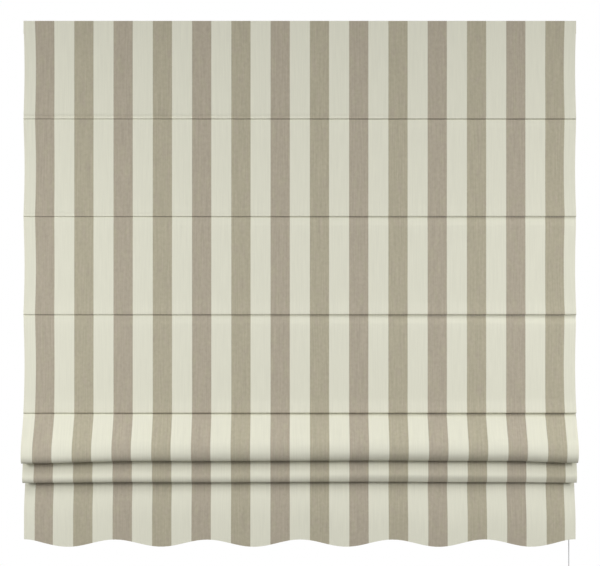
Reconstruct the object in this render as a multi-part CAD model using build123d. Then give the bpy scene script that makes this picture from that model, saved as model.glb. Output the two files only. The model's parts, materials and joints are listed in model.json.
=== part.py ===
"""Roman blind of striped cloth, half raised, on a corded head rail with two wall brackets.

Millimetres. X runs along the rail, Y points into the wall and Z is up.
The origin is the middle of the four wall screws, on the wall's face.
"""

import os
from math import acos, cos, pi, radians, sin

from build123d import *

os.makedirs("parts", exist_ok=True)

# Cloth
cloth_width = 1300
cloth_sheet = 0.9
layer_gap = 0.3
panel_pitch = 231
flat_panels = 4
top_cover = 0.3
top_hem_drop = 30
seam_corner = 1.5
pocket_flare = 2.0
skirt_drop = 238
scallop_count = 6
scallop_rise = 17

# Upper fold, in shares of a panel's cloth: it swells out, turns over a crown and tucks in to a tighter belly
upper_start_angle = 30
upper_steep_angle = 46
upper_tuck_angle = 38
upper_swell_share = 0.302
upper_crown_share = 0.215
upper_back_angle = 14

# Lower fold, in shares of a panel's cloth: a straight front, a crown that tucks in and a back leg
lower_front_angle = 12.5
lower_tuck_angle = 36
lower_front_share = 0.504
lower_crown_share = 0.073
lower_back_angle = 7

# Rods and rings
rod_diameter = 5
rod_clearance = 0.3
rod_inset = 5
rod_round = 1.5
ring_bore = 9
ring_wire = 2
ring_gap = 0.3

# Lift lines
line_count = 4
line_inset = 90
lift_cord_diameter = 1.2
lane_pitch = 1.7
cord_gap = 0.3
cord_hole_gap = 0.15
lift_knot_diameter = 3.2
toggle_length = 15
toggle_diameter = 4
toggle_gap = 0.1

# Head rail
rail_inset = 5
rail_depth = 32
rail_height = 26
rail_wall = 1.4
rail_lip = 8
rail_bend = 1.0
rail_stand_off = 10

# End caps
cap_plate = 2.5
cap_plug = 4
cap_rib = 1.5
cap_clearance = 0.15

# Hook and loop tape
tape_height = 20
tape_sheet = 1.5
tape_inset = 5

# Wall brackets
bracket_inset = 270
bracket_width = 26
bracket_gauge = 1.6
bracket_bend = 1.0
bracket_corner = 5
flange_height = 38
screw_spacing = 18
screw_hole_diameter = 4.6
hook_clearance = 0.2
hook_end_clearance = 1.0

# Locking levers
lever_sheet = 1.5
lever_clearance = 0.3
lever_pivot_offset = 2
lever_boss_diameter = 9
lever_handle_length = 19
lever_handle_width = 8
lever_tip_width = 6
cam_reach = 10.5
cam_width = 10
cam_tip_width = 7
rivet_diameter = 5
rivet_running_gap = 0.05
rivet_head = 1.2
rivet_head_diameter = 8.4
rivet_foot = 1.0
rivet_foot_gap = 0.1

# Cord guides and the cord lock's guide roller
guide_base = 2
guide_clearance = 0.2
guide_before_length = 7
guide_after_length = 17
guide_slot_width = 7
guide_slot_length = 14
collar_wall = 1.2
collar_proud = 0.8
cheek = 2
cheek_round_diameter = 11
cheek_side_gap = 0.3
roller_tread_diameter = 10
roller_flange_diameter = 13
roller_flange = 1.5
roller_tread_margin = 1.0
roller_floor_gap = 0.5
axle_diameter = 3
axle_running_gap = 0.06
axle_seat_gap = 0.02

# Cord lock
pull_inset = 14.5
lock_before_length = 17
lock_after_length = 11
lock_cheek_before_length = 10
lock_cheek_after_length = 8
lock_cheek_head = 0.5
lock_pin_diameter = 5
trunnion_diameter = 2.4
trunnion_gap = 0.15
lock_travel = 3
lock_slope_angle = 30

# Condenser, where the lift cords become the pull cord
condenser_hang = 42
condenser_diameter = 14
condenser_wall = 1.5
condenser_body_length = 22
condenser_cap_length = 12
condenser_floor = 3
condenser_foot_diameter = 6
condenser_neck_diameter = 10.5
condenser_spigot = 3
condenser_fit = 0.1
knot_diameter = 8
knot_rise = 2
knot_length = 12
knot_round = 1.2

# Pull cord and acorn
pull_cord_diameter = 2
acorn_hang = 1302
acorn_length = 44
acorn_diameter = 21
acorn_neck_diameter = 7
acorn_foot_diameter = 11
acorn_cup_length = 14
acorn_cup_step = 0.8
acorn_bore_diameter = 9
acorn_bore_depth = 17
end_knot_diameter = 6.4
end_knot_flat_share = 0.8

# How far cuts run past what they cut
overrun = 2

# Places that follow from the sizes above
rail_length = cloth_width - 2 * rail_inset
tape_length = rail_length - 2 * tape_inset
bracket_spacing = rail_length - 2 * bracket_inset
rail_back = -rail_stand_off
rail_front = rail_back - rail_depth
rail_mid = (rail_back + rail_front) / 2
bracket_top = flange_height / 2
rail_top = bracket_top - bracket_gauge - lever_sheet - 2 * lever_clearance
rail_bottom = rail_top - rail_height
rail_floor = rail_bottom + rail_wall
lip_under = rail_top - rail_wall
cloth_top = bracket_top + rivet_head + top_cover
loop_front = rail_front - 2 * tape_sheet
cloth_mid = loop_front - layer_gap - 3 * cloth_sheet / 2
neck_half = (cloth_sheet + layer_gap) / 2
ring_radius = ring_bore / 2 + ring_wire
pocket_back = rail_mid - ring_radius - ring_gap
pocket_loop = rod_diameter / 2 + rod_clearance + cloth_sheet / 2
rod_y = pocket_back - pocket_loop - cloth_sheet / 2
neck_front = cloth_mid + seam_corner
line_half_span = cloth_width / 2 - line_inset
line_step = 2 * line_half_span / (line_count - 1)
line_places = [line_step * k - line_half_span for k in range(line_count)]
lane_places = [rail_mid + lane_pitch * (k - (line_count - 1) / 2) for k in range(line_count)]
lift_radius = lift_cord_diameter / 2
wrap_radius = roller_tread_diameter / 2 + cord_gap + lift_radius
roller_z = rail_floor + guide_base + roller_floor_gap + roller_flange_diameter / 2
roller_tread = lane_pitch * (line_count - 1) + lift_cord_diameter + 2 * roller_tread_margin
roller_width = roller_tread + 2 * roller_flange
cheek_inner = roller_width / 2 + cheek_side_gap
rail_inside = rail_depth - 2 * rail_wall
pull_x = cloth_width / 2 - pull_inset
lock_x = pull_x - wrap_radius
bracket_places = {"left": -bracket_spacing / 2, "right": bracket_spacing / 2}


def run(length):
    """A straight stretch of a strip."""
    return length, 0


def bend(radius, angle):
    """A bend of a strip, to the left where the angle is positive."""
    return radius, angle


def curve(length, angle):
    """A bend of a strip, from its length along the middle."""
    return bend(length / abs(radians(angle)), angle)


def stretch_length(steps):
    """Length of a strip along its middle."""
    return sum(abs(radians(angle)) * size if angle else size for size, angle in steps)


def follow(start, heading, steps, offset=0):
    """Edges of the line beside a strip's middle, the point where the middle ends and its heading."""
    edges = []
    at = Vector(*start)
    for size, angle in steps:
        side = Vector(1, 0).rotate(Axis.Z, heading + 90)
        if angle == 0:
            end = at + Vector(1, 0).rotate(Axis.Z, heading) * size
            edges.append(Line(at + side * offset, end + side * offset))
        else:
            hand = 1 if angle > 0 else -1
            centre = at + side * size * hand
            spoke = (at - centre) * ((size - hand * offset) / size)
            half, full = (spoke.rotate(Axis.Z, angle * part) for part in (1 / 2, 1))
            edges.append(ThreePointArc(centre + spoke, centre + half, centre + full))
            end = centre + (at - centre).rotate(Axis.Z, angle)
            heading += angle
        at = end
    return edges, at, heading


def strip_face(start, heading, steps, sheet):
    """Section of a bent sheet in the YZ plane: its two faces and the two cut ends."""
    left = follow(start, heading, steps, sheet / 2)[0]
    right = follow(start, heading, steps, -sheet / 2)[0]
    ends = [Line(left[0] @ 0, right[0] @ 0), Line(left[-1] @ 1, right[-1] @ 1)]
    return Plane.YZ * make_face(left + right + ends)


def cylinder_x(diameter, length, place):
    """Round bar along X, centred on a place."""
    return Pos(*place) * Rot(0, 90, 0) * Cylinder(diameter / 2, length)


def cylinder_y(diameter, length, place):
    """Round bar along Y, centred on a place."""
    return Pos(*place) * Rot(90, 0, 0) * Cylinder(diameter / 2, length)


def upright(sketch, x, low, high):
    """A flat outline raised from one height to another, at a place along the rail's middle."""
    return Pos(x, rail_mid, low) * extrude(sketch, high - low)


def turned(outline, x, z):
    """A body turned about an upright line on the rail's middle, from an outline of radius and height."""
    return Pos(x, rail_mid, z) * revolve(Plane.XZ * make_face(outline), Axis.Z)


# Cloth: one sheet, from the turned top hem down through six rod pockets to the skirt
flare_angle = acos((neck_half + pocket_flare) / (pocket_loop + pocket_flare))
neck_run = rod_y - (pocket_loop + pocket_flare) * sin(flare_angle) - neck_front
flare = bend(pocket_flare, flare_angle * 180 / pi)
pocket = [
    run(neck_run),
    flare,
    bend(pocket_loop, -180 - 2 * flare[1]),
    flare,
    run(neck_run),
]
panel_run = panel_pitch - 2 * (seam_corner + neck_half)
panel_cloth = panel_run + pi * seam_corner
over_corner = seam_corner + 2 * neck_half


def fold_back(start, heading, front, tuck_angle, back_angle):
    """The belly and back leg of a fold that uses one panel of cloth and ends at the next pocket's neck."""
    left = panel_cloth - stretch_length(front)
    reach = neck_front - follow(start, heading, front)[1].X
    tuck = radians(tuck_angle)
    lean = radians(back_angle)
    corner = bend(over_corner, back_angle - 90)
    leg_and_belly = left - stretch_length([corner])
    leg_reach = reach - over_corner * cos(lean) - leg_and_belly * sin(lean)
    belly_radius = leg_reach / (cos(tuck) + cos(lean) - (pi - tuck - lean) * sin(lean))
    belly = bend(belly_radius, 180 - tuck_angle - back_angle)
    return [belly, run(leg_and_belly - stretch_length([belly])), corner]


hem_start = (cloth_mid + 2 * neck_half, cloth_top - top_hem_drop)
hem_rise = top_hem_drop - cloth_sheet / 2 - neck_half
hem_steps = [run(hem_rise), bend(neck_half, 180)]
first_drop = panel_pitch - cloth_sheet / 2 - neck_half - neck_half - seam_corner
down_in = bend(seam_corner, 90)
steps = hem_steps + [run(first_drop), down_in]
for _ in range(flat_panels - 1):
    steps += pocket + [down_in, run(panel_run), down_in]

upper_front = [
    bend(seam_corner, 90 - upper_start_angle),
    curve(upper_swell_share * panel_cloth, upper_start_angle - upper_steep_angle),
    curve(upper_crown_share * panel_cloth, upper_steep_angle + upper_tuck_angle),
]
lower_front = [
    bend(seam_corner, 90 - lower_front_angle),
    run(lower_front_share * panel_cloth),
    curve(lower_crown_share * panel_cloth, lower_front_angle + lower_tuck_angle),
]
folds = [
    (upper_front, upper_tuck_angle, upper_back_angle),
    (lower_front, lower_tuck_angle, lower_back_angle),
]
rod_heights = [cloth_top - panel_pitch * (k + 1) for k in range(flat_panels)]
for front, tuck_angle, back_angle in folds:
    steps += pocket
    neck_end, neck_heading = follow(hem_start, 90, steps)[1:]
    steps += front + fold_back(neck_end, neck_heading, front, tuck_angle, back_angle)
    rod_heights.append(follow(hem_start, 90, steps)[1].Y - neck_half)
steps += pocket + [down_in]
hem_low = rod_heights[-1] - skirt_drop
steps.append(run(follow(hem_start, 90, steps)[1].Y - hem_low))

cloth_body = extrude(strip_face(hem_start, 90, steps, cloth_sheet), cloth_width / 2, both=True)
wave_step = cloth_width / scallop_count / 2
wave_mid = hem_low + scallop_rise / 2
wave_knots = [(wave_step * (k - 1 / 2) - cloth_width / 2, wave_mid) for k in range(2 * scallop_count + 2)]
wave_edges = []
for k, (knot, next_knot) in enumerate(zip(wave_knots, wave_knots[1:])):
    swing = scallop_rise / 2 if k % 2 == 0 else -scallop_rise / 2
    top = ((knot[0] + next_knot[0]) / 2, wave_mid + swing)
    wave_edges.append(ThreePointArc(knot, top, next_knot))
below = hem_low - overrun
wave_edges.append(
    Polyline(wave_knots[-1], (wave_knots[-1][0], below), (wave_knots[0][0], below), wave_knots[0])
)
cloth = cloth_body - extrude(Plane.XZ * make_face(wave_edges), panel_pitch, both=True)
export_step(cloth, "parts/striped_cloth.step")
print("cloth flat length", round(stretch_length(steps), 1), "width", cloth_width)

# Rods, the bottom bar and the rings behind them
rod_length = cloth_width - 2 * rod_inset
for number, height in enumerate(rod_heights, 1):
    rod = cylinder_x(rod_diameter, rod_length, (0, rod_y, height))
    rod = fillet(rod.edges().filter_by(GeomType.CIRCLE), rod_round)
    name = "bottom_bar" if number == len(rod_heights) else f"rod_{number}"
    export_step(rod, f"parts/{name}.step")
    ring = extrude(Circle(ring_radius) - Circle(ring_bore / 2), ring_wire / 2, both=True)
    row = Compound(children=[Pos(x, rail_mid, height) * ring for x in line_places])
    export_step(row, f"parts/ring_row_{number}.step")

# Toggles under the lowest rings, each on its lift cord
toggle_z = rod_heights[-1] - ring_wire / 2 - toggle_gap - toggle_diameter / 2
toggle_hole = lift_cord_diameter + 2 * cord_hole_gap
toggle = cylinder_x(toggle_diameter, toggle_length, (0, 0, 0)) - Cylinder(toggle_hole / 2, toggle_length)
toggles = [Pos(x, y, toggle_z) * toggle for x, y in zip(line_places, lane_places)]
export_step(Compound(children=toggles), "parts/lift_toggles.step")

# Head rail: a channel with two lips, slotted below each lift line and at the cord lock
bend_mid = rail_bend + rail_wall / 2
lip_run = rail_lip - rail_wall - rail_bend
side_run = rail_height - 2 * (rail_wall + rail_bend)
floor_run = rail_depth - 2 * (rail_wall + rail_bend)
turn = bend(bend_mid, -90)
half_rail = [run(lip_run), turn, run(side_run), turn]
rail_steps = half_rail + [run(floor_run)] + half_rail[::-1]
rail_start = (rail_back - rail_lip, rail_top - rail_wall / 2)
rail = extrude(strip_face(rail_start, 0, rail_steps, rail_wall), rail_length / 2, both=True)
floor_slot = SlotOverall(guide_slot_length, guide_slot_width, rotation=90)
for x in line_places + [pull_x]:
    rail -= upright(floor_slot, x, rail_bottom - overrun, rail_floor + overrun)
export_step(rail, "parts/head_rail.step")

# End caps: a plate with the channel's outline and a rib that plugs into it
outline = RectangleRounded(rail_depth, rail_height, rail_bend + rail_wall)
plug_depth = rail_inside - 2 * cap_clearance
plug_height = rail_height - 2 * rail_wall - 2 * cap_clearance
plug = RectangleRounded(plug_depth, plug_height, rail_bend)
plug -= Rectangle(plug_depth - 2 * cap_rib, plug_height - 2 * cap_rib)
end_cap = extrude(outline, cap_plate) + extrude(plug, -cap_plug)
cap_place = Plane((rail_length / 2, rail_mid, rail_top - rail_height / 2), x_dir=(0, 1, 0), z_dir=(1, 0, 0))
right_cap = cap_place * end_cap
export_step(right_cap, "parts/right_end_cap.step")
export_step(mirror(right_cap, Plane.YZ), "parts/left_end_cap.step")

# Tapes: the hook half is stuck to the rail, the loop half is sewn to the cloth's hem
tape_z = rail_top - rail_height / 2
for name, face in (("hook_tape", rail_front), ("loop_tape", rail_front - tape_sheet)):
    tape = Pos(0, face - tape_sheet / 2, tape_z) * Box(tape_length, tape_sheet, tape_height)
    export_step(tape, f"parts/{name}.step")

# Wall brackets: a screwed flange, an arm over the rail and a hook under its front lip
fold_mid = bracket_bend + bracket_gauge / 2
arm_mid = bracket_top - bracket_gauge / 2
hook_mid = lip_under - bracket_gauge / 2
web_mid = rail_front + rail_lip + bracket_bend + hook_clearance + bracket_gauge / 2
hook_end = rail_front + rail_wall + hook_end_clearance
flange_mid = -bracket_gauge / 2
bracket_steps = [
    run(arm_mid + flange_height / 2 - fold_mid),
    bend(fold_mid, 90),
    run(flange_mid - web_mid - 2 * fold_mid),
    bend(fold_mid, 90),
    run(arm_mid - hook_mid - 2 * fold_mid),
    bend(fold_mid, -90),
    run(web_mid - hook_end - fold_mid),
]
pivot_y = rail_mid + lever_pivot_offset
bracket_face = strip_face((flange_mid, -flange_height / 2), 90, bracket_steps, bracket_gauge)
bracket = extrude(bracket_face, bracket_width / 2, both=True)
bracket = fillet(bracket.edges().filter_by(Axis.Y).group_by(Axis.Z)[0], bracket_corner)
for side in (-1, 1):
    screw_place = (0, flange_mid, side * screw_spacing / 2)
    bracket -= cylinder_y(screw_hole_diameter, bracket_gauge + 2 * overrun, screw_place)
rivet_hole = rivet_diameter + 2 * rivet_running_gap
bracket -= Pos(0, pivot_y, arm_mid) * Cylinder(rivet_hole / 2, bracket_gauge + 2 * overrun)

# Locking lever: a handle above the lips, a boss between them and a cam that turns under the rear one
handle_low = rail_top + lever_clearance
cam_high = lip_under - lever_clearance
tip_x = lever_handle_length - lever_tip_width / 2
cam_tip_y = cam_reach - cam_tip_width / 2
handle_ends = [Circle(lever_handle_width / 2), Pos(tip_x, 0) * Circle(lever_tip_width / 2)]
cam_ends = [Circle(cam_width / 2), Pos(0, cam_tip_y) * Circle(cam_tip_width / 2)]
handle = make_hull([edge for end in handle_ends for edge in end.edges()])
cam = make_hull([edge for end in cam_ends for edge in end.edges()])
lever = Pos(0, pivot_y, handle_low) * extrude(handle + Circle(lever_boss_diameter / 2), lever_sheet)
lever += Pos(0, pivot_y, cam_high) * extrude(Circle(lever_boss_diameter / 2), handle_low - cam_high)
lever += Pos(0, pivot_y, cam_high - bracket_gauge) * extrude(cam, bracket_gauge)
lever -= Pos(0, pivot_y, rail_top) * Cylinder(rivet_hole / 2, rail_height)

# Rivet: a domed head on the arm, the shank that the lever turns on and an upset foot
foot_top = cam_high - bracket_gauge - rivet_foot_gap
rivet_head_body = Cylinder(rivet_head_diameter / 2, rivet_head, align=(Align.CENTER, Align.CENTER, Align.MIN))
rivet_head_body = fillet(rivet_head_body.edges().sort_by(Axis.Z)[-1], rivet_head / 2)
rivet = Pos(0, pivot_y, bracket_top) * rivet_head_body
rivet += Pos(0, pivot_y, foot_top) * extrude(Circle(rivet_diameter / 2), bracket_top - foot_top)
rivet += Pos(0, pivot_y, foot_top) * extrude(Circle(rivet_head_diameter / 2), -rivet_foot)
for side, x in bracket_places.items():
    export_step(Pos(x, 0, 0) * bracket, f"parts/{side}_bracket.step")
    export_step(Pos(x, 0, 0) * lever, f"parts/{side}_bracket_lever.step")
    export_step(Pos(x, 0, 0) * rivet, f"parts/{side}_bracket_rivet.step")

# Guide roller: a wide spool for all the lift cords, turning about Y
half_width = roller_width / 2
bore_radius = axle_diameter / 2 + axle_running_gap
roller_outline = Polyline(
    (bore_radius, -half_width),
    (roller_flange_diameter / 2, -half_width),
    (roller_tread_diameter / 2, roller_flange - half_width),
    (roller_tread_diameter / 2, half_width - roller_flange),
    (roller_flange_diameter / 2, half_width),
    (bore_radius, half_width),
    close=True,
)
roller = revolve(make_face(roller_outline), Axis.Y)
axle = cylinder_y(axle_diameter, 2 * (cheek_inner + cheek), (0, 0, 0))


def cheeks(outline):
    """The two side walls of a guide, each cut from an outline in the XZ plane."""
    wall = extrude(Plane.XZ * outline, cheek)
    near = Pos(0, rail_mid - cheek_inner, 0) * wall
    far = Pos(0, rail_mid + cheek_inner + cheek, 0) * wall
    return near + far


def guide_floor(cord_x, before, after):
    """Base of a guide on the rail's floor, with a collar through the rail's slot for the cords."""
    width = rail_inside - 2 * (rail_bend + guide_clearance)
    low = rail_floor + guide_base / 2
    middle = cord_x + (after - before) / 2
    collar_length = guide_slot_length - 2 * guide_clearance
    collar_width = guide_slot_width - 2 * guide_clearance
    collar = SlotOverall(collar_length, collar_width, rotation=90)
    passage = SlotOverall(collar_length - 2 * collar_wall, collar_width - 2 * collar_wall, rotation=90)
    body = Pos(middle, rail_mid, low) * Box(before + after, width, guide_base)
    body += upright(collar, cord_x, rail_bottom - collar_proud, rail_floor + guide_base / 2)
    passage_low = rail_bottom - collar_proud - overrun
    return body - upright(passage, cord_x, passage_low, rail_floor + guide_base + overrun)


seat = Circle(axle_diameter / 2 + axle_seat_gap)
base_top = rail_floor + guide_base
for number, x in enumerate(line_places, 1):
    centre = (x + wrap_radius, roller_z)
    cheek_height = roller_z - base_top
    web = Pos(centre[0], roller_z - cheek_height / 2) * Rectangle(cheek_round_diameter, cheek_height)
    wall = web + Pos(*centre) * Circle(cheek_round_diameter / 2) - Pos(*centre) * seat
    guide = guide_floor(x, guide_before_length, guide_after_length) + cheeks(wall)
    export_step(guide, f"parts/cord_guide_{number}.step")
    export_step(Pos(centre[0], rail_mid, roller_z) * roller, f"parts/guide_roller_{number}.step")
    export_step(Pos(centre[0], rail_mid, roller_z) * axle, f"parts/guide_axle_{number}.step")

# Cord lock: the same roller under a pin that slides up a sloping slot to free the cords
pin_z = roller_z + wrap_radius + lift_radius + cord_gap + lock_pin_diameter / 2
slide = Vector(cos(radians(lock_slope_angle)), sin(radians(lock_slope_angle)))
cheek_top = lip_under - lock_cheek_head
cheek_middle = lock_x + (lock_cheek_after_length - lock_cheek_before_length) / 2
lock_wall = Pos(cheek_middle, (cheek_top + base_top) / 2) * Rectangle(
    lock_cheek_before_length + lock_cheek_after_length, cheek_top - base_top
)
lock_wall -= Pos(lock_x, roller_z) * seat
slot_middle = Vector(lock_x, pin_z) + slide * (lock_travel / 2)
slot_height = trunnion_diameter + 2 * trunnion_gap
pin_slot = SlotCenterToCenter(lock_travel, slot_height, rotation=lock_slope_angle)
lock_wall -= Pos(slot_middle.X, slot_middle.Y) * pin_slot
lock_floor = guide_floor(pull_x, lock_before_length, lock_after_length - wrap_radius)
export_step(lock_floor + cheeks(lock_wall), "parts/lock_housing.step")
export_step(Pos(lock_x, rail_mid, roller_z) * roller, "parts/lock_roller.step")
export_step(Pos(lock_x, rail_mid, roller_z) * axle, "parts/lock_axle.step")
pin = cylinder_y(lock_pin_diameter, roller_width, (lock_x, rail_mid, pin_z))
pin += cylinder_y(trunnion_diameter, 2 * (cheek_inner + cheek), (lock_x, rail_mid, pin_z))
export_step(pin, "parts/lock_pin.step")

# Condenser: a cup and a cap round the knot that joins the lift cords to the pull cord
condenser_top = rail_bottom - condenser_hang
joint_z = condenser_top - condenser_cap_length
condenser_foot = joint_z - condenser_body_length
outer = condenser_diameter / 2
inner = outer - condenser_wall
foot_radius = condenser_foot_diameter / 2
pull_hole = pull_cord_diameter / 2 + cord_hole_gap
shoulder = outer - foot_radius
cup_outline = [
    Polyline((pull_hole, condenser_floor), (pull_hole, 0), (foot_radius, 0)),
    TangentArc((outer, shoulder), (foot_radius, 0), tangent=(0, -1)),
    Polyline(
        (outer, shoulder),
        (outer, condenser_body_length),
        (inner, condenser_body_length),
        (inner, condenser_floor),
        (pull_hole, condenser_floor),
    ),
]
neck_radius = condenser_neck_diameter / 2
cord_mouth = neck_radius - condenser_wall / 2
spigot_radius = inner - condenser_fit
cap_outline = [
    TangentArc((outer, 0), (neck_radius, condenser_cap_length), tangent=(0, 1)),
    Polyline(
        (neck_radius, condenser_cap_length),
        (cord_mouth, condenser_cap_length),
        (cord_mouth, -condenser_spigot),
        (spigot_radius, -condenser_spigot),
        (spigot_radius, 0),
        (outer, 0),
    ),
]
export_step(turned(cup_outline, pull_x, condenser_foot), "parts/condenser_body.step")
export_step(turned(cap_outline, pull_x, joint_z), "parts/condenser_cap.step")
knot_low = condenser_foot + condenser_floor + knot_rise
knot = Pos(pull_x, rail_mid, knot_low) * extrude(Circle(knot_diameter / 2), knot_length)
knot = fillet(knot.edges().filter_by(GeomType.CIRCLE), knot_round)
export_step(knot, "parts/cord_knot.step")

# Lift cords: up through the rings, over the rollers, along the rail and down to the condenser
cord_low = toggle_z - toggle_diameter / 2 - toggle_gap - lift_knot_diameter / 2
for number, (x, lane) in enumerate(zip(line_places, lane_places), 1):
    route = [
        (x, lane, cord_low),
        (x, lane, roller_z + wrap_radius),
        (pull_x, lane, roller_z + wrap_radius),
        (pull_x, lane, knot_low + knot_length),
    ]
    path = FilletPolyline(*route, radius=wrap_radius)
    cord = sweep(Plane(route[0], z_dir=(0, 0, 1)) * Circle(lift_radius), path=path)
    share = cord.volume / (pi * lift_radius**2 * path.length)
    print("lift cord", number, "length", round(path.length), "radius", wrap_radius, "share", round(share, 4))
    cord += Pos(x, lane, cord_low) * Sphere(lift_knot_diameter / 2)
    export_step(cord, f"parts/lift_cord_{number}.step")

# Pull cord: one straight run under the acorn's weight
acorn_top = cloth_top - acorn_hang
bore_top = acorn_top - acorn_length + acorn_bore_depth
pull_route = [(pull_x, rail_mid, knot_low), (pull_x, rail_mid, bore_top)]
pull_cord = sweep(
    Plane(pull_route[0], z_dir=(0, 0, -1)) * Circle(pull_cord_diameter / 2),
    path=Line(*pull_route),
)
export_step(pull_cord, "parts/pull_cord.step")
print("pull cord length", round(knot_low - bore_top, 1), "route", pull_route)

# Acorn: a turned cup and nut, bored from below for the knot
cup_radius = acorn_diameter / 2
nut_radius = cup_radius - acorn_cup_step
bore_radius_acorn = acorn_bore_diameter / 2
nut_length = acorn_length - acorn_cup_length
acorn_outline = [
    Line((pull_hole, acorn_length), (acorn_neck_diameter / 2, acorn_length)),
    TangentArc((cup_radius, nut_length), (acorn_neck_diameter / 2, acorn_length), tangent=(0, 1)),
    Line((cup_radius, nut_length), (nut_radius, nut_length)),
    TangentArc((nut_radius, nut_length), (acorn_foot_diameter / 2, 0), tangent=(0, -1)),
    Polyline(
        (acorn_foot_diameter / 2, 0),
        (bore_radius_acorn, 0),
        (bore_radius_acorn, acorn_bore_depth),
        (pull_hole, acorn_bore_depth),
        (pull_hole, acorn_length),
    ),
]
export_step(turned(acorn_outline, pull_x, acorn_top - acorn_length), "parts/pull_acorn.step")
end_flat = end_knot_diameter / 2 * end_knot_flat_share
end_knot = Sphere(end_knot_diameter / 2) - Pos(0, 0, end_flat + end_knot_diameter / 2) * Box(
    end_knot_diameter, end_knot_diameter, end_knot_diameter
)
export_step(Pos(pull_x, rail_mid, bore_top - end_flat) * end_knot, "parts/pull_end_knot.step")

print("rod heights", [round(z, 2) for z in rod_heights], "rod y", round(rod_y, 2))
print("rollers", [round(x + wrap_radius, 2) for x in line_places], "y", rail_mid, "z", round(roller_z, 2))
print("lock", round(lock_x, 2), round(pin_z, 2), "pivot", pivot_y)
print("cloth top", round(cloth_top, 2), "hem", round(hem_low, 2))
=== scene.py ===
"""Looks of the striped roman blind: cloth, cords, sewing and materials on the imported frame, in metres."""

import json
from math import acos, ceil, cos, pi, radians, sin

import bpy
import numpy as np
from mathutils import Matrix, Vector


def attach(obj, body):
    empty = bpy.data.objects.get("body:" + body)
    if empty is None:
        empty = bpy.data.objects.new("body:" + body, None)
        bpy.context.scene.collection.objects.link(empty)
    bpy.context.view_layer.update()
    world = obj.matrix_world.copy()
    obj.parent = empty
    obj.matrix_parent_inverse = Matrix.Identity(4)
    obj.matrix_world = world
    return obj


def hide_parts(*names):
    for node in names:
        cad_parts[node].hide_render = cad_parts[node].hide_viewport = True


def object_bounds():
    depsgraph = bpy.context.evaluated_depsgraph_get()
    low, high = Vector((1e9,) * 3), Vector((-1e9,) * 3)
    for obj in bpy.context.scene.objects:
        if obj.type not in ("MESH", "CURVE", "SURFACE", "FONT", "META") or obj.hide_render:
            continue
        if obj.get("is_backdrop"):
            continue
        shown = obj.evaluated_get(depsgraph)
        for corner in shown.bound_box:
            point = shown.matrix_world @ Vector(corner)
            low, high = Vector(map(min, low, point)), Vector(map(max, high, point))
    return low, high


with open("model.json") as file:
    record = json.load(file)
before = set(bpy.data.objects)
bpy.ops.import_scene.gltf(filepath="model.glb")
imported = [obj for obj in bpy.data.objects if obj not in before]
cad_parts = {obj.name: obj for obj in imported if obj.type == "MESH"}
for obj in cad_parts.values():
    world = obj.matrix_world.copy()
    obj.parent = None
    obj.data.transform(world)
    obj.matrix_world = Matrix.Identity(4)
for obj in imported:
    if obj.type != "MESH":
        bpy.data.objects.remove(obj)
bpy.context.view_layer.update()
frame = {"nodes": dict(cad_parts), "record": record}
scene = bpy.context.scene
collection = scene.collection

# Camera: square on to the cloth
camera_data = bpy.data.cameras.new("camera")
camera_data.sensor_width = 36
camera_data.lens = 114.8
camera = bpy.data.objects.new("camera", camera_data)
camera.location = (0.0004, -4.547, -0.5962)
camera.rotation_euler = (radians(90), 0, 0)
collection.objects.link(camera)
scene.camera = camera


# Materials
class Paint:
    """A material's nodes, added and linked in short calls."""

    def __init__(self, name, roughness=0.5, metallic=0.0, specular=0.5):
        self.material = bpy.data.materials.new(name)
        self.material.use_nodes = True
        self.nodes = self.material.node_tree.nodes
        self.links = self.material.node_tree.links
        self.shader = self.nodes["Principled BSDF"]
        self.shader.inputs["Roughness"].default_value = roughness
        self.shader.inputs["Metallic"].default_value = metallic
        self.shader.inputs["Specular IOR Level"].default_value = specular

    def put(self, socket, value):
        if isinstance(value, bpy.types.NodeSocket):
            self.links.new(value, socket)
        elif value is not None:
            socket.default_value = value

    def node(self, kind, values=(), out=0, **settings):
        made = self.nodes.new("ShaderNode" + kind)
        for key, value in settings.items():
            setattr(made, key, value)
        for key, value in dict(values).items():
            self.put(made.inputs[key], value)
        return made.outputs[out]

    def math(self, operation, first, second=None, third=None):
        values = {k: v for k, v in enumerate((first, second, third)) if v is not None}
        return self.node("Math", values, operation=operation)

    def place(self):
        return self.node("TexCoord", out="Object")

    def split(self, vector):
        made = self.nodes.new("ShaderNodeSeparateXYZ")
        self.links.new(vector, made.inputs[0])
        return made.outputs

    def scaled(self, vector, scale):
        return self.node("Mapping", {"Vector": vector, "Scale": scale})

    def noise(self, vector, scale=1.0, detail=3.0, roughness=0.5):
        values = {"Vector": vector, "Scale": scale, "Detail": detail, "Roughness": roughness}
        return self.node("TexNoise", values)

    def ramp(self, value, low, high, to_low=0.0, to_high=1.0, smooth=False):
        values = {"Value": value, "From Min": low, "From Max": high, "To Min": to_low, "To Max": to_high}
        kind = "SMOOTHSTEP" if smooth else "LINEAR"
        return self.node("MapRange", values, interpolation_type=kind)

    def mix(self, factor, first, second, blend="MIX"):
        made = self.nodes.new("ShaderNodeMix")
        made.data_type = "RGBA"
        made.blend_type = blend
        for index, value in ((0, factor), (6, first), (7, second)):
            self.put(made.inputs[index], value)
        return made.outputs[2]

    def colour(self, value):
        self.put(self.shader.inputs["Base Color"], value)

    def rough(self, value):
        self.put(self.shader.inputs["Roughness"], value)

    def bump(self, height, strength, distance):
        normal = self.node("Bump", {"Height": height, "Strength": strength, "Distance": distance})
        self.links.new(normal, self.shader.inputs["Normal"])


def srgb(red, green, blue):
    """A colour given in screen levels, as the linear numbers that nodes take."""
    parts = [c / 255 for c in (red, green, blue)]
    return (*[c / 12.92 if c <= 0.04045 else ((c + 0.055) / 1.055) ** 2.4 for c in parts], 1.0)


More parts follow.
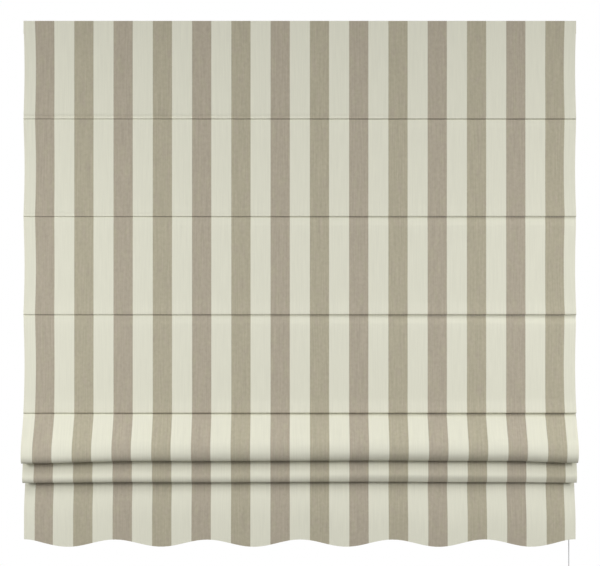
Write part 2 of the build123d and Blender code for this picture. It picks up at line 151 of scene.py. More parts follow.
def cloth_material(name):
    """Plain weave in cream and two heathered taupes by turns, laid out on the flat sheet."""
    stripe_pitch, stripe_half, first_stripe = 0.09234, 0.02262, -0.6002
    edge_blur, yarn_pitch, weave_depth = 0.0003, 0.00065, 0.00018
    paint = Paint(name, roughness=0.86, specular=0.25)
    flat = paint.node("UVMap", uv_map="flat")
    across, along, _ = paint.split(flat)
    from_first = paint.math("SUBTRACT", across, first_stripe)
    from_stripe = paint.math("PINGPONG", from_first, stripe_pitch / 2)
    ragged = paint.noise(paint.scaled(flat, (1500, 900, 1)), detail=1.0)
    edge = paint.math("ADD", from_stripe, paint.ramp(ragged, 0.3, 0.7, -edge_blur, edge_blur))
    dyed = paint.ramp(edge, stripe_half + edge_blur, stripe_half - edge_blur, smooth=True)
    streak = paint.noise(paint.scaled(flat, (330, 11, 1)), detail=4.0, roughness=0.6)
    mottle = paint.noise(paint.scaled(flat, (150, 110, 1)), detail=3.0, roughness=0.6)
    heather = paint.noise(paint.scaled(flat, (70, 26, 1)), detail=3.0, roughness=0.6)
    rose, olive = srgb(173, 164, 147), srgb(175, 168.5, 147)
    turn = paint.math("PINGPONG", from_first, stripe_pitch)
    olive_part = paint.ramp(turn, 0.4 * stripe_pitch, 0.6 * stripe_pitch)
    blurred = paint.math("ADD", olive_part, paint.ramp(heather, 0.3, 0.7, -0.8, 0.8))
    taupe = paint.mix(paint.ramp(blurred, 0.0, 1.0), rose, olive)
    long_yarn = paint.ramp(streak, 0.3, 0.7, 0.915, 1.085)
    slubs = paint.ramp(mottle, 0.3, 0.7, 0.94, 1.06)
    taupe = paint.mix(1.0, taupe, paint.math("MULTIPLY", long_yarn, slubs), "MULTIPLY")
    pale, bright = srgb(219, 218, 201), srgb(225.5, 224.5, 207)
    cream = paint.mix(paint.ramp(streak, 0.3, 0.7), pale, bright)
    paint.colour(paint.mix(dyed, cream, taupe))
    yarn = pi / yarn_pitch
    weave = paint.math(
        "MULTIPLY",
        paint.math("SINE", paint.math("MULTIPLY", across, yarn)),
        paint.math("SINE", paint.math("MULTIPLY", along, yarn)),
    )
    height = paint.math("MULTIPLY_ADD", streak, 1.2, weave)
    paint.bump(height, 0.28, weave_depth)
    paint.rough(paint.ramp(streak, 0.3, 0.7, 0.82, 0.92))
    paint.shader.inputs["Sheen Weight"].default_value = 0.08
    paint.shader.inputs["Sheen Roughness"].default_value = 0.5
    return paint.material


def moulded(name, base, shade, roughness, grain=900.0):
    """Moulded plastic: slight cloudiness, a fine grain and uneven gloss."""
    paint = Paint(name, roughness=roughness)
    place = paint.place()
    cloud = paint.noise(place, 60, 3.0)
    paint.colour(paint.mix(paint.ramp(cloud, 0.3, 0.7), base, shade))
    fine = paint.noise(place, grain, 2.0)
    paint.rough(paint.ramp(fine, 0.3, 0.7, roughness - 0.08, roughness + 0.08))
    paint.bump(fine, 0.12, 0.0002)
    return paint.material


def coated(name, base, shade):
    """Powder coat on aluminium: a fine orange peel."""
    paint = Paint(name, roughness=0.38)
    place = paint.place()
    peel = paint.noise(place, 650, 2.0)
    wear = paint.noise(paint.scaled(place, (6, 60, 60)), 1.0, 4.0)
    paint.colour(paint.mix(paint.ramp(wear, 0.35, 0.7), base, shade))
    paint.rough(paint.ramp(wear, 0.3, 0.7, 0.32, 0.46))
    paint.bump(peel, 0.16, 0.0003)
    return paint.material


def plated(name, base, shade, roughness, stretch=(1, 1, 1), scale=260.0):
    """Bare or plated metal: patches of tone and fine rubbing marks."""
    paint = Paint(name, roughness=roughness, metallic=1.0)
    place = paint.place()
    patch = paint.noise(paint.scaled(place, stretch), scale, 4.0, 0.6)
    marks = paint.noise(paint.scaled(place, (300, 2600, 2600)), 1.0, 2.0)
    paint.colour(paint.mix(paint.ramp(patch, 0.3, 0.7), base, shade))
    paint.rough(paint.ramp(patch, 0.3, 0.7, roughness - 0.1, roughness + 0.12))
    paint.bump(marks, 0.1, 0.0001)
    return paint.material


def braided(name, base, shade, lay):
    """Braided cord: crossing strands, painted shade in the hollows between them, and a little dust that
    varies the gloss.
    """
    paint = Paint(name, roughness=0.7, specular=0.35)
    place = paint.place()
    x, y, z = paint.split(place)
    across = paint.math("ADD", x, y)
    turn = pi / lay
    one = paint.math("SINE", paint.math("MULTIPLY", paint.math("ADD", z, across), turn))
    other = paint.math("SINE", paint.math("MULTIPLY", paint.math("SUBTRACT", z, across), turn))
    strands = paint.math("MULTIPLY", one, other)
    dust = paint.noise(place, 900, 3.0)
    # The hollows of the braid's bump take the darker colour: painted shade between the strands, not a tone
    # of the cord.
    paint.colour(paint.mix(paint.ramp(strands, -0.8, 0.8), shade, base))
    paint.rough(paint.ramp(dust, 0.3, 0.7, 0.6, 0.82))
    paint.bump(strands, 0.5, 0.0002)
    return paint.material


def napped(name, base, shade):
    """Hook or loop tape: a dense pile."""
    paint = Paint(name, roughness=0.95, specular=0.2)
    place = paint.place()
    pile = paint.noise(place, 2200, 2.0)
    rows = paint.node("TexVoronoi", {"Vector": place, "Scale": 700.0})
    paint.colour(paint.mix(paint.ramp(pile, 0.3, 0.7), base, shade))
    paint.bump(paint.math("ADD", pile, rows), 0.7, 0.0006)
    return paint.material


def drawn_glass(name):
    """Fibreglass rod: long pale strands in resin."""
    paint = Paint(name, roughness=0.42)
    strand = paint.noise(paint.scaled(paint.place(), (5, 1500, 1500)), 1.0, 3.0)
    paint.colour(paint.mix(paint.ramp(strand, 0.3, 0.7), srgb(214, 208, 178), srgb(190, 182, 150)))
    paint.rough(paint.ramp(strand, 0.3, 0.7, 0.34, 0.52))
    paint.bump(strand, 0.2, 0.0002)
    return paint.material


def turned_wood(name, axis):
    """Pale turned wood: grain along the axis, pores and a wax finish."""
    paint = Paint(name, roughness=0.42)
    local = paint.node("VectorMath", {0: paint.place(), 1: axis}, operation="SUBTRACT")
    warp = paint.noise(paint.scaled(local, (60, 60, 12)), 1.0, 2.0)
    grain = paint.noise(paint.scaled(local, (420, 420, 22)), 1.0, 4.0, 0.6)
    layers = paint.math("MULTIPLY", paint.split(local)[0], 1500.0)
    rings = paint.math("SINE", paint.math("MULTIPLY_ADD", warp, 42.0, layers))
    tone = paint.math("MULTIPLY_ADD", rings, 0.22, grain)
    paint.colour(paint.mix(paint.ramp(tone, 0.2, 0.85), srgb(213, 182, 138), srgb(172, 128, 82)))
    pores = paint.noise(paint.scaled(local, (1500, 1500, 90)), 1.0, 2.0)
    paint.rough(paint.ramp(grain, 0.3, 0.7, 0.34, 0.5))
    paint.bump(pores, 0.18, 0.0003)
    return paint.material


pull_x, rail_mid = 0.6355, -0.026
finishes = {
    "striped_cloth": cloth_material("striped_cloth_weave"),
    "rail_aluminium": coated("rail_powder_coat", srgb(236, 236, 231), srgb(226, 226, 220)),
    "white_plastic": moulded("white_moulding", srgb(232, 232, 226), srgb(222, 222, 214), 0.42),
    "roller_plastic": moulded("roller_nylon", srgb(224, 220, 204), srgb(211, 206, 188), 0.36),
    "ring_plastic": moulded("ring_moulding", srgb(235, 235, 230), srgb(223, 223, 216), 0.3),
    "rod_fibreglass": drawn_glass("rod_fibreglass_strands"),
    "bar_steel": plated("bar_zinc", (0.56, 0.57, 0.58, 1), (0.44, 0.45, 0.47, 1), 0.36, (1, 6, 6)),
    "bracket_steel": plated("bracket_zinc", (0.62, 0.63, 0.64, 1), (0.47, 0.48, 0.5, 1), 0.34),
    "pin_steel": plated("pin_bright_steel", (0.6, 0.6, 0.61, 1), (0.48, 0.48, 0.5, 1), 0.28),
    "pin_brass": plated("pin_knurled_brass", (0.72, 0.55, 0.24, 1), (0.6, 0.43, 0.17, 1), 0.3),
    "lift_cord": braided("lift_cord_braid", srgb(232, 231, 226), srgb(196, 195, 190), 0.0011),
    "pull_cord": braided("pull_cord_braid", srgb(206, 206, 209), srgb(168, 168, 172), 0.0016),
    "tape": napped("tape_pile", srgb(228, 226, 216), srgb(206, 204, 193)),
    "acorn_wood": turned_wood("acorn_beech", (pull_x, rail_mid, 0)),
}


def add_piece(name, data, slot, *stands_for):
    """Puts a mesh or curve in the scene as a piece that rides on the blind."""
    piece = bpy.data.objects.new(name, data)
    collection.objects.link(piece)
    data.materials.append(finishes[slot])
    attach(piece, "blind")
    if stands_for:
        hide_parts(*stands_for)
    return piece


def add_mesh(name, points, faces, slot, *stands_for, sharp=None):
    """A smooth mesh piece from points and faces."""
    mesh = bpy.data.meshes.new(name)
    mesh.from_pydata([tuple(p) for p in points], [], faces)
    mesh.polygons.foreach_set("use_smooth", [True] * len(mesh.polygons))
    if sharp:
        mesh.set_sharp_from_angle(angle=radians(sharp))
    return add_piece(name, mesh, slot, *stands_for)


def add_cord(name, points, diameter, slot, *stands_for):
    """A cord on a smooth line through a route's points."""
    curve = bpy.data.curves.new(name, "CURVE")
    curve.dimensions = "3D"
    spline = curve.splines.new("NURBS")
    spline.points.add(len(points) - 1)
    for point, place in zip(spline.points, points):
        point.co = (*place, 1)
    spline.order_u = 3
    spline.use_endpoint_u = True
    spline.resolution_u = 12
    spline.use_smooth = True
    curve.bevel_depth = diameter / 2
    curve.bevel_resolution = 3
    curve.use_fill_caps = True
    return add_piece(name, curve, slot, *stands_for)


# Pull cord: from the knot in the condenser straight down to the acorn
pull_diameter = 0.002
condenser_foot = -0.0867
knot_low, bore_top = -0.0817, -1.3085
pull_route = [
    (pull_x, rail_mid, knot_low),
    (pull_x, rail_mid, condenser_foot - 6 * pull_diameter),
    (pull_x, rail_mid, bore_top),
]
pull = add_cord("pull_cord_line", pull_route, pull_diameter, "pull_cord", "pull_cord")

# Lift cords: through the rings, over the guide rollers and along the rail to the condenser
lift_diameter, lane_pitch, line_reach = 0.0012, 0.0017, 0.56
line_places = [-line_reach, -line_reach / 3, line_reach / 3, line_reach]
lane_places = [rail_mid + lane_pitch * (k - 1.5) for k in range(4)]
cord_low, cord_top, cord_end = -0.9855, 0.0056, -0.0697
bend_reach = 0.0118
for number, (x, lane) in enumerate(zip(line_places, lane_places), 1):
    lift_route = [
        (x, lane, cord_low),
        (x, lane, cord_top - bend_reach),
        (x, lane, cord_top),
        (x + bend_reach, lane, cord_top),
        (pull_x - bend_reach, lane, cord_top),
        (pull_x, lane, cord_top),
        (pull_x, lane, cord_top - bend_reach),
        (pull_x, lane, cord_end),
    ]
    add_cord(f"lift_line_{number}", lift_route, lift_diameter, "lift_cord", f"lift_cord_{number}")

# Cloth section: the same bends as the sheet in the frame, as (size, angle), in metres and degrees
cloth_width, cloth_sheet, layer_gap = 1.3, 0.0009, 0.0003
panel_pitch, flat_panels = 0.231, 4
seam_corner, pocket_flare, skirt_drop = 0.0015, 0.002, 0.238
cloth_top, cloth_mid, rod_y = 0.0205, -0.04665, -0.0365
top_hem_drop, pocket_loop = 0.03, 0.00325
scallop_count, scallop_rise = 6, 0.017
upper_start, upper_steep, upper_tuck, upper_back = 30, 46, 38, 14
lower_slope, lower_tuck, lower_back = 12.5, 36, 7
upper_face_share, upper_lip_share = 0.302, 0.215
lower_face_share, lower_lip_share = 0.504, 0.073
bend_spacing, run_spacing, wide_turn, tight_turn = 0.006, 0.018, 8, 24
rows_below_crease = [0.0016] * 3 + [0.003] * 5
rows_above_crease = [0.006] * 4 + [0.001] * 11
neck_half = (cloth_sheet + layer_gap) / 2
neck_front = cloth_mid + seam_corner
flare_angle = acos((neck_half + pocket_flare) / (pocket_loop + pocket_flare))
neck_run = rod_y - (pocket_loop + pocket_flare) * sin(flare_angle) - neck_front
flare = (pocket_flare, flare_angle * 180 / pi)
pocket = [(neck_run, 0), flare, (pocket_loop, -180 - 2 * flare[1]), flare, (neck_run, 0)]
panel_run = panel_pitch - 2 * (seam_corner + neck_half)
panel_cloth = panel_run + pi * seam_corner
over_corner = seam_corner + 2 * neck_half


def curve(length, angle):
    """A bend from its length along the middle."""
    return length / abs(radians(angle)), angle


def stretch(steps):
    """Length of bends and runs along their middle."""
    return sum(abs(radians(angle)) * size if angle else size for size, angle in steps)


def trace(start, heading, steps):
    """Points along a bent strip, as (place along it, y, z), then its end's heading."""
    at, done, points = np.array(start), 0.0, [(0.0, *start)]
    for size, angle in steps:
        length = abs(radians(angle)) * size if angle else size
        spacing = bend_spacing if angle else run_spacing
        turn = wide_turn if size > pocket_loop else tight_turn
        count = max(1, ceil(length / spacing), ceil(abs(angle) / turn))
        for k in range(1, count + 1):
            part = k / count
            way = radians(heading + angle * part / 2)
            chord = length * part
            if angle:
                half = radians(abs(angle) * part / 2)
                chord = 2 * size * sin(half)
            place = at + chord * np.array([cos(way), sin(way)])
            points.append((done + length * part, *place))
        at, heading, done = place, heading + angle, done + length
    return points, heading


def fold_back(start, heading, front, tuck_angle, back_angle):
    """The belly and back leg of a fold that uses one panel of cloth and ends at the next pocket."""
    end = trace(start, heading, front)[0][-1]
    tuck, lean = radians(tuck_angle), radians(back_angle)
    corner = (over_corner, back_angle - 90)
    rest = panel_cloth - stretch(front) - stretch([corner])
    reach = neck_front - end[1] - over_corner * cos(lean) - rest * sin(lean)
    radius = reach / (cos(tuck) + cos(lean) - (pi - tuck - lean) * sin(lean))
    belly = (radius, 180 - tuck_angle - back_angle)
    return [belly, (rest - stretch([belly]), 0), corner]


def flat_front(length):
    """A flat panel's front, with closer rows below and above its creases."""
    plain_run = length - sum(rows_below_crease + rows_above_crease)
    return [(run, 0) for run in (*rows_below_crease, plain_run, *rows_above_crease)]


hem_start = (cloth_mid + 2 * neck_half, cloth_top - top_hem_drop)
down_in = (seam_corner, 90)
steps = [(top_hem_drop - cloth_sheet / 2 - neck_half, 0), (neck_half, 180)]
fronts = [stretch(steps)]
steps += flat_front(panel_pitch - cloth_sheet / 2 - 2 * neck_half - seam_corner)
fronts.append(stretch(steps))
steps.append(down_in)
for _ in range(flat_panels - 1):
    steps += pocket + [down_in]
    fronts.append(stretch(steps))
    steps += flat_front(panel_run)
    fronts.append(stretch(steps))
    steps.append(down_in)
panel_starts, panel_ends = fronts[::2], fronts[1::2]
upper_front = [
    (seam_corner, 90 - upper_start),
    curve(upper_face_share * panel_cloth, upper_start - upper_steep),
    curve(upper_lip_share * panel_cloth, upper_steep + upper_tuck),
]
lower_front = [
    (seam_corner, 90 - lower_slope),
    (lower_face_share * panel_cloth, 0),
    curve(lower_lip_share * panel_cloth, lower_slope + lower_tuck),
]
folds = ((upper_front, upper_tuck, upper_back), (lower_front, lower_tuck, lower_back))
fold_spans, rod_heights = [], [cloth_top - panel_pitch * (k + 1) for k in range(flat_panels)]
for front, tuck_angle, back_angle in folds:
    steps += pocket
    path, heading = trace(hem_start, 90, steps)
    begin = stretch(steps)
    steps += front + fold_back(path[-1][1:], heading, front, tuck_angle, back_angle)
    fold_spans.append((begin, stretch(steps)))
    rod_heights.append(trace(hem_start, 90, steps)[0][-1][2] - neck_half)
steps += pocket
skirt_start = stretch(steps)
steps.append(down_in)
hem_low = rod_heights[-1] - skirt_drop
steps.append((trace(hem_start, 90, steps)[0][-1][2] - hem_low, 0))
cloth_length = stretch(steps)

# Cloth sheet: the section across the width, with the cloth's own easing
half_width, edge_zone = cloth_width / 2, 0.04
edge_count, edge_crowding, inner_count = 9, 1.6, 97
rows = np.array(trace(hem_start, 90, steps)[0])
edge_columns = edge_zone * np.linspace(0, 1, edge_count)[:-1] ** edge_crowding
inner_columns = np.linspace(edge_zone - half_width, half_width - edge_zone, inner_count)
columns = np.concatenate([edge_columns - half_width, inner_columns, half_width - edge_columns[::-1]])
along, level_y, level_z = (rows[:, k][:, None] for k in range(3))
x = columns[None, :]
from_left, from_right = x + half_width, half_width - x
from_edge = np.minimum(from_left, from_right)


def smooth(low, high, value):
    """An eased step from 0 at low to 1 at high."""
    t = np.clip((value - low) / (high - low), 0, 1)
    return t * t * (3 - 2 * t)


def swell(start, end):
    """Half a wave between two places along the cloth, nothing elsewhere."""
    return np.sin(pi * np.clip((along - start) / (end - start), 0, 1))


def bump(middle, reach):
    """A soft bump about a place along the cloth."""
    return np.exp(-(((along - middle) / reach) ** 2))


px = x + 0 * along
py = level_y + 0 * x
pz = level_z + 0 * x

# Flat panels bow out a little between the rods, and their sides draw in
panel_bow, side_draw, side_reach = 0.0011, 0.0026, 0.11
wander = 0.6 + 0.25 * np.sin(3.1 * x + 0.7) + 0.2 * np.sin(7.3 * x - 1.1)
for number, (start, end) in enumerate(zip(panel_starts, panel_ends)):
    bow = swell(start, end)
    py -= panel_bow * bow * (wander + 0.25 * np.sin(5.1 * x + 1.9 * number))
    px -= np.sign(x) * side_draw * bow * smooth(side_reach, 0.0, from_edge)

# Each rod's seam draws the cloth in, deeper towards the right. The lower panels flare out above their
# creases, the cloth below is set back, and the upper creases have a groove above them at the left
pinch, corner_reach, neck_begin, neck_end, neck_ease = 0.0016, 0.0024, 0.0028, 0.0065, 0.0045
flare_reach, flare_begin, flare_end = 0.034, 0.0006, -0.0035
groove_top, groove_floor, groove_foot = 0.0115, 0.0028, 0.0002
set_back_near, set_back_far = 0.001, 0.022
lift_near, lift_far = 0.004, 0.03
flares, set_backs = (0.0, 0.0008, 0.002, 0.0032), (0.0012, 0.0024, 0.003, 0.0034)
grooves, lifts = (0.002, 0.0006, 0.0, 0.0), (0.0, 0.0012, 0.0012, 0.0006)
deeper = 0.3 + 1.5 * smooth(-1.1, 1.1, x / half_width)
grooved = smooth(0.9, -0.75, x)
below_creases = panel_starts[1:] + [fold_spans[0][0] + stretch(upper_front[:1])]
creases = zip(panel_ends, below_creases, flares, set_backs, grooves, lifts)
for end, start, flared, set_back, groove, lift in creases:
    above, below = end - along, along - start
    kept_on = smooth(flare_end, flare_begin, above)
    py -= flared * (0.5 + 0.5 * deeper) * smooth(flare_reach, 0.0, above) * kept_on
    sunk = smooth(groove_top, groove_floor, above) * smooth(groove_foot, groove_floor, above)
    py += groove * grooved * sunk
    py += set_back * deeper * smooth(set_back_far, set_back_near, below) * smooth(-neck_ease, 0.0, below)
    for inward in (-above, -below):
        in_front = smooth(neck_end, neck_begin, inward)
        py += pinch * deeper * smooth(0.0, corner_reach, inward) * in_front
        pz += lift * smooth(-lift_far, -lift_near, inward) * in_front

# Folds hang lower towards their ends, and their bellies wander slightly
droops, belly_wander, belly_draw, belly_edge = (0.0055, 0.002), 0.0007, 0.001, 0.05
left_reach, right_reach, left_weight = 0.3, 0.16, 1.25
ends = smooth(left_reach, 0.0, from_left) * left_weight + smooth(right_reach, 0.0, from_right)
for (start, end), droop in zip(fold_spans, droops):
    belly = swell(start, end) ** 2
    pz -= belly * droop * ends
    pz += belly * belly_wander * np.sin(9.2 * x + 0.4)
    px -= np.sign(x) * belly_draw * belly * smooth(belly_edge, 0.0, from_edge)

# The folds' lips stand fuller at the left and turn further under at the right, and the upper fold's front
# is drawn back. Places on a fold are shares of its panel's cloth
upper_full, upper_full_left, lower_full_left, upper_drawn = 0.0025, 0.005, 0.004, 0.003
upper_tucked, lower_tucked, lower_pressed, lower_sunk = 0.0035, 0.004, 0.004, 0.005
(upper_begin, _), (lower_begin, _) = fold_spans
upper_share, lower_share = (along - upper_begin) / panel_cloth, (along - lower_begin) / panel_cloth


def on_fold(begin, place_share, reach_share):
    """A soft bump about a place on a fold."""
    return bump(begin + place_share * panel_cloth, reach_share * panel_cloth)


upper_lip, lower_lip = on_fold(upper_begin, 0.53, 0.1), on_fold(lower_begin, 0.57, 0.08)
upper_under, lower_under = on_fold(upper_begin, 0.56, 0.06), on_fold(lower_begin, 0.585, 0.05)
lower_face = on_fold(lower_begin, 0.46, 0.14) * smooth(0.64, 0.58, lower_share)
lower_hollow = on_fold(lower_begin, 0.37, 0.045)
upper_face = smooth(0.0, 0.02, upper_share) * smooth(0.42, 0.32, upper_share)
drawn_back = np.cumsum(upper_face * np.gradient(along, axis=0), axis=0)
drawn_back = drawn_back / drawn_back.max() * smooth(0.75, 0.48, upper_share)
left_part = smooth(0.5, 0.03, from_left)
right_part = smooth(-0.05, 0.25, x)
right_end = smooth(0.24, 0.12, from_right)
past_left = smooth(-0.5, -0.1, x)
py -= (upper_full + upper_full_left * left_part) * upper_lip + lower_full_left * left_part * lower_lip
py += upper_drawn * drawn_back
py += right_part * (upper_tucked * upper_under + lower_tucked * lower_under)
py += lower_pressed * right_end * lower_face
py += lower_sunk * past_left * lower_hollow

# The skirt hangs forward of its rod in slight waves, its sides curl back and its hem is scalloped
hem_lift, skirt_forward, skirt_widening = 0.0015, 0.01, 0.003
curl_reach, curl_in, curl_back = 0.06, 0.0042, 0.005
skirt_waves = ((0.0016, 0.43, 0.8), (0.0008, 0.19, 0.0))
hung = np.clip((along - skirt_start) / (cloth_length - skirt_start), 0, 1)
wave_step = cloth_width / scallop_count
rise = scallop_rise * (0.5 + 0.5 * np.cos(2 * pi * from_left / wave_step))
pz += rise * smooth(0.35, 1.0, hung) + hem_lift * smooth(0.3, 1.0, hung)
out_start = 0.2 + 0.1 * right_part
out = smooth(out_start, out_start + 0.5, hung)
py -= skirt_forward * out
px += skirt_widening * x * out
curl = smooth(0.0, 0.12, hung) * smooth(curl_reach, 0.0, from_edge)
px -= np.sign(x) * curl_in * curl
py += curl_back * curl
for height, length, phase in skirt_waves:
    py += height * hung * np.sin(2 * pi * x / length + phase)

middle = np.stack([px, py, pz], axis=-1)
normal = np.cross(np.gradient(middle, axis=0), np.gradient(middle, axis=1))
normal /= np.linalg.norm(normal, axis=-1, keepdims=True)
flat_places = np.stack([x + 0 * along, along + 0 * x], axis=-1)


def add_sheet(name, near, far, flat, *stands_for):
    """A closed sheet of the striped cloth between two faces, each a grid of points."""
    row_count, column_count = near.shape[:2]
    numbers = np.arange(2 * row_count * column_count).reshape(2, row_count, column_count)
    front, back = numbers
    faces = []
    for side in (front[:, ::-1], back):
        corners = (side[:-1, :-1], side[:-1, 1:], side[1:, 1:], side[1:, :-1])
        faces += np.stack(corners, axis=-1).reshape(-1, 4).tolist()
    rim = [np.concatenate([f[0], f[1:, -1], f[-1, -2::-1], f[-2:0:-1, 0]]) for f in (front, back)]
    faces += np.stack([rim[0], np.roll(rim[0], -1), np.roll(rim[1], -1), rim[1]], axis=-1).tolist()
    points = np.concatenate([near.reshape(-1, 3), far.reshape(-1, 3)])
    sheet = add_mesh(name, points, faces, "striped_cloth", *stands_for, sharp=50)
    corner_points = np.empty(len(sheet.data.loops), np.int32)
    sheet.data.loops.foreach_get("vertex_index", corner_points)
    flat_map = sheet.data.uv_layers.new(name="flat")
    places = np.concatenate([flat.reshape(-1, 2)] * 2)
    flat_map.data.foreach_set("uv", places[corner_points].astype(np.float32).ravel())
    return sheet


def layer(first, last, offset, rows=slice(None)):
    """Part of the cloth's grid, moved off its middle towards the front."""
    part = (rows, slice(first, last))
    return middle[part] + normal[part] * offset


half_sheet = cloth_sheet / 2
cloth = add_sheet(
    "striped_sheet",
    layer(None, None, half_sheet),
    layer(None, None, -half_sheet),
    flat_places,
    "striped_cloth",
)

# Side hems: the edges turned over to the back
hem_width, hem_gap, hem_depth = 0.026, 0.00005, 0.0009
hem_columns = int(np.sum(edge_columns < hem_width))
below_top_hem = slice(int(np.argmax(rows[:, 0] > fronts[0] + top_hem_drop)), None)
hem_face, hem_back = -half_sheet - hem_gap, -half_sheet - hem_depth
for name, first, last in (("left", None, hem_columns), ("right", -hem_columns, None)):
    near, far = (layer(first, last, offset, below_top_hem) for offset in (hem_face, hem_back))
    add_sheet(f"{name}_side_hem", near, far, flat_places[below_top_hem, first:last])


# Sewing: rings tacked to the pockets, and the seam that closes each pocket
def hoops(centres, first_axis, second_axis, radii, wire, turns, sides):
    """Points and faces of closed round wires, each bent to an ellipse in the plane of two axes."""
    t = np.linspace(0, 2 * pi, turns, endpoint=False)[:, None, None]
    s = np.linspace(0, 2 * pi, sides, endpoint=False)[None, :, None]
    u, v = np.array(first_axis, float), np.array(second_axis, float)
    out = np.cos(t) * u + np.sin(t) * v
    line = radii[0] * np.cos(t) * u + radii[1] * np.sin(t) * v
    shape = (line + wire * (np.cos(s) * out + np.sin(s) * np.cross(u, v))).reshape(-1, 3)
    numbers = np.arange(turns * sides).reshape(turns, sides)
    ahead = np.roll(numbers, -1, axis=0)
    corners = (numbers, ahead, np.roll(ahead, -1, axis=1), np.roll(numbers, -1, axis=1))
    ring = np.stack(corners, axis=-1)
    return repeat(shape, ring.reshape(-1, 4), centres)


def repeat(shape, faces, places):
    """One shape's points and faces, set at each place."""
    points = (np.array(places)[:, None, :] + shape[None]).reshape(-1, 3)
    steps_on = np.arange(len(places))[:, None, None] * len(shape)
    return points, (np.array(faces)[None] + steps_on).reshape(-1, len(faces[0])).tolist()


ring_radius, ring_wire = 0.0055, 0.001
tack_wire, tack_radii, tack_step, tack_overlap = 0.00028, (0.0017, 0.0013), 0.0007, 0.0004
tack_y = rail_mid - ring_radius - tack_overlap
stitch_pitch, stitch_half, stitch_wire, stitch_inset = 0.0036, 0.0014, 0.00022, 0.0026
stitch_sides, stitch_full_share = 6, 0.7
stitch_y, seam_height = neck_front + stitch_inset, neck_half + half_sheet
stitch_line = [(cos(a), sin(a)) for a in np.linspace(0, 2 * pi, stitch_sides, endpoint=False)]
stitch = [(-stitch_half, 0, 0)]
for end in (-stitch_half, stitch_half):
    stitch += [(end * stitch_full_share, stitch_wire * c, stitch_wire * d) for c, d in stitch_line]
stitch.append((stitch_half, 0, 0))
stitch_faces, far_tip = [], len(stitch) - 1
for k in range(stitch_sides):
    near, near_next = 1 + k, 1 + (k + 1) % stitch_sides
    far, far_next = near + stitch_sides, near_next + stitch_sides
    stitch_faces += [(0, near_next, near), (near, near_next, far_next)]
    stitch_faces += [(near, far_next, far), (far, far_next, far_tip)]
stitch_count = int((cloth_width - 4 * stitch_pitch) / stitch_pitch)
stitch_x = (np.arange(stitch_count) - (stitch_count - 1) / 2) * stitch_pitch
for number, height in enumerate(rod_heights, 1):
    ring_places = [(place, rail_mid, height) for place in line_places]
    rings = hoops(ring_places, (1, 0, 0), (0, 1, 0), (ring_radius, ring_radius), ring_wire, 28, 10)
    add_mesh(f"sewn_rings_{number}", *rings, "ring_plastic", f"ring_row_{number}")
    tack_places = [(place + k * tack_step, tack_y, height) for place in line_places for k in (-1, 0, 1)]
    tacks = hoops(tack_places, (0, 1, 0), (0, 0, 1), tack_radii, tack_wire, 14, 6)
    add_mesh(f"ring_tacks_{number}", *tacks, "lift_cord")
    seams = [(place, stitch_y, height + side * seam_height) for side in (-1, 1) for place in stitch_x]
    add_mesh(f"pocket_seam_{number}", *repeat(np.array(stitch), stitch_faces, seams), "lift_cord")

# Every other node of the frame keeps its shape and gets its material
for subpart in frame["record"]["subparts"]:
    for held in frame["nodes"][subpart["node"]].material_slots:
        held.material = finishes[subpart["material_slot"]]

# Stage and light
floor_z, floor_side, floor_front, floor_back = -2.9, 4, -5, 3
floor_corners = [
    (-floor_side, floor_front, floor_z),
    (floor_side, floor_front, floor_z),
    (floor_side, floor_back, floor_z),
    (-floor_side, floor_back, floor_z),
]
floor_mesh = bpy.data.meshes.new("floor")
floor_mesh.from_pydata(floor_corners, [], [[0, 1, 2, 3]])
floor = bpy.data.objects.new("floor", floor_mesh)
collection.objects.link(floor)
floor_paint = Paint("floor_pale", roughness=0.9)
floor_paint.colour(srgb(236, 236, 234))
matt = floor_paint.shader.outputs[0]
glow = floor_paint.node("Emission", {"Color": (1, 1, 1, 1), "Strength": 0.5})
lifted = floor_paint.node("AddShader", {0: matt, 1: glow})
camera_ray = floor_paint.node("LightPath", out="Is Camera Ray")
shown_floor = floor_paint.node("MixShader", {0: camera_ray, 1: matt, 2: lifted})
floor_paint.links.new(shown_floor, floor_paint.nodes["Material Output"].inputs["Surface"])
floor_mesh.materials.append(floor_paint.material)
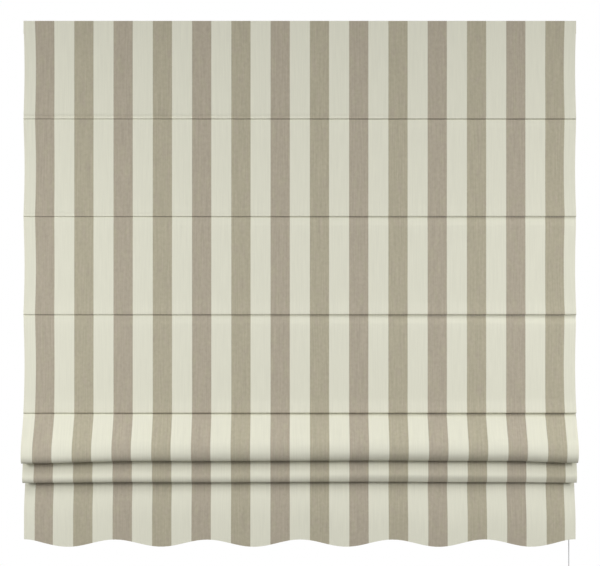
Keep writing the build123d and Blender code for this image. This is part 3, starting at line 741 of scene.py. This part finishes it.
floor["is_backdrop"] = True


def lamp(name, place, aim, size, power, spread):
    """A soft rectangular lamp that faces a point."""
    light = bpy.data.lights.new(name, "AREA")
    light.shape = "RECTANGLE"
    light.size, light.size_y = size
    light.energy = power
    light.spread = radians(spread)
    made = bpy.data.objects.new(name, light)
    made.location = place
    made.rotation_euler = (Vector(aim) - Vector(place)).to_track_quat("-Z", "Y").to_euler()
    collection.objects.link(made)


for side, name, share in ((-1, "left", 1.13), (1, "right", 1.08)):
    high, key, fill = (side * 1.4, -3.2, 2.4), (side * 2.0, -1.6, -0.1), (side * 2.0, -1.6, -0.5)
    lamp(f"{name}_high", high, (side * 0.6, 0, -1.15), (1.6, 1.6), 3.1, spread=60)
    lamp(f"{name}_key", key, (side * 0.5, 0, -1.0), (0.6, 0.6), 3.1 * share, spread=100)
    lamp(f"{name}_fill", fill, (side * 0.4, 0, -0.85), (0.6, 0.6), 4.8 * share, spread=100)
lamp("top", (0, -2.2, 2.6), (0, 0, -1.1), (3.0, 1.2), 5.4, spread=70)
lamp("back_fill", (0.6, 2.8, 0.9), (0, 0, -0.5), (2.2, 1.6), 18, spread=90)

world = bpy.data.worlds.new("world")
scene.world = world
world.use_nodes = True
tree = world.node_tree
tree.nodes.clear()
paths = tree.nodes.new("ShaderNodeLightPath")
seen = paths.outputs["Is Camera Ray"]
for ray in ("Is Glossy Ray", "Is Transmission Ray"):
    either = tree.nodes.new("ShaderNodeMath")
    either.operation = "MAXIMUM"
    tree.links.new(seen, either.inputs[0])
    tree.links.new(paths.outputs[ray], either.inputs[1])
    seen = either.outputs[0]
ambient = tree.nodes.new("ShaderNodeBackground")
ambient.inputs["Strength"].default_value = 0.18
white = tree.nodes.new("ShaderNodeBackground")
for shade in (ambient, white):
    shade.inputs["Color"].default_value = (1, 1, 1, 1)
chosen = tree.nodes.new("ShaderNodeMixShader")
output = tree.nodes.new("ShaderNodeOutputWorld")
tree.links.new(seen, chosen.inputs[0])
tree.links.new(ambient.outputs[0], chosen.inputs[1])
tree.links.new(white.outputs[0], chosen.inputs[2])
tree.links.new(chosen.outputs[0], output.inputs[0])

scene.view_settings.view_transform = "Standard"

low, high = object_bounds()
